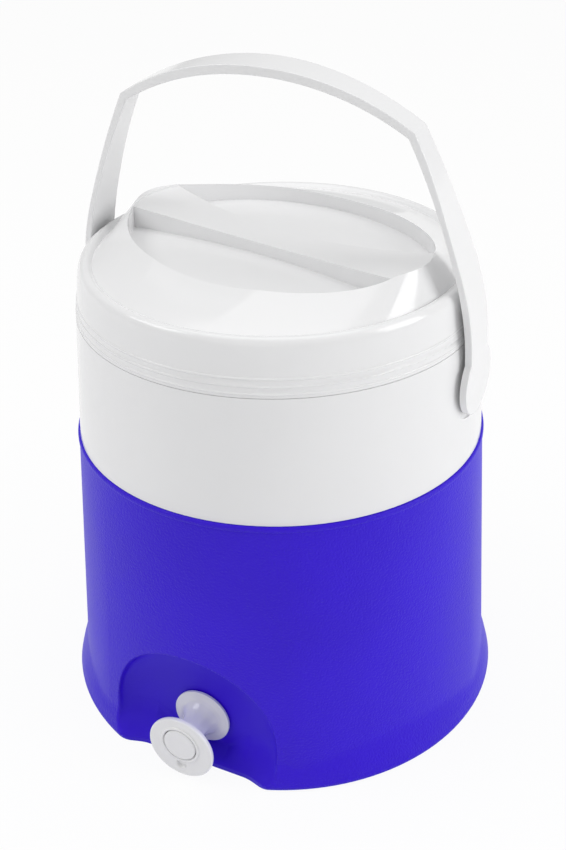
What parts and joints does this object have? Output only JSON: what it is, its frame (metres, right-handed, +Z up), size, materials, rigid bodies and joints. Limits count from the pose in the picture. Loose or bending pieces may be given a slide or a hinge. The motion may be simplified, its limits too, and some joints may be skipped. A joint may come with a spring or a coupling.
{
  "type": "insulated beverage dispenser",
  "caption": "Round foamed drinks jug with a screw lid, a swinging bail handle and a push-button tap in a niche at its foot.",
  "frame": {"origin": "centre of the base's underside, on the surface the jug stands on", "axes": "+Z up along the jug's axis, -Y towards the tap, +X along the bail's pivot axis to the right seen from the tap"},
  "size_m": [0.29, 0.293, 0.4213],
  "materials": {
    "casing_blue": "saturated violet-blue with a fine leather grain, satin",
    "white_plastic": "glossy white",
    "liner_white": "food-grade white, smooth",
    "base_grey": "dark blue, smooth",
    "foam": "rigid insulating foam",
    "seal_rubber": "pale food-grade rubber",
    "spring_steel": "stainless spring wire"
  },
  "bodies": {
    "jug": {"casing": "casing_blue", "base_plate": "base_grey", "foam_plug": "base_grey", "collar": "white_plastic", "liner": "liner_white", "neck_seal": "seal_rubber", "body_foam": "foam", "pivot_pin_left": "white_plastic", "pivot_pin_right": "white_plastic", "pivot_washer_left": "white_plastic", "pivot_washer_right": "white_plastic", "tap_body": "white_plastic", "tap_gasket_outer": "seal_rubber", "tap_gasket_inner": "seal_rubber", "tap_nut": "liner_white", "stem_seal": "seal_rubber", "tap_spring": "spring_steel"},
    "lid_ring": {"lid_gasket": "seal_rubber"},
    "lid": {"lid_shell": "white_plastic", "lid_plug": "liner_white", "lid_foam": "foam"},
    "bail": {"handle": "white_plastic"},
    "tap_push": {"tap_button": "white_plastic", "valve_disc": "seal_rubber", "valve_clip": "liner_white"}
  },
  "joints": [
    {"name": "lid_rise", "type": "slide", "parent": "jug", "child": "lid_ring", "axis": [0, 0, 1], "range_m": [0, 0.0045]},
    {"name": "lid_turn", "type": "hinge", "parent": "lid_ring", "child": "lid", "pos_m": [0, 0, 0.2707], "axis": [0, 0, 1], "range_deg": [0, 90]},
    {"name": "bail_swing", "type": "hinge", "parent": "jug", "child": "bail", "pos_m": [0, 0, 0.245], "axis": [1, 0, 0], "range_deg": [-124, 116]},
    {"name": "tap_press", "type": "slide", "parent": "jug", "child": "tap_push", "axis": [0, 1, 0], "range_m": [0, 0.004], "stiffness_N_per_m": 350, "springref_m": -0.008, "deforming": ["tap_spring"]}
  ],
  "couplings": [
    {"joint": "lid_rise", "follows": "lid_turn", "m_per_rad": 0.00286}
  ]
}
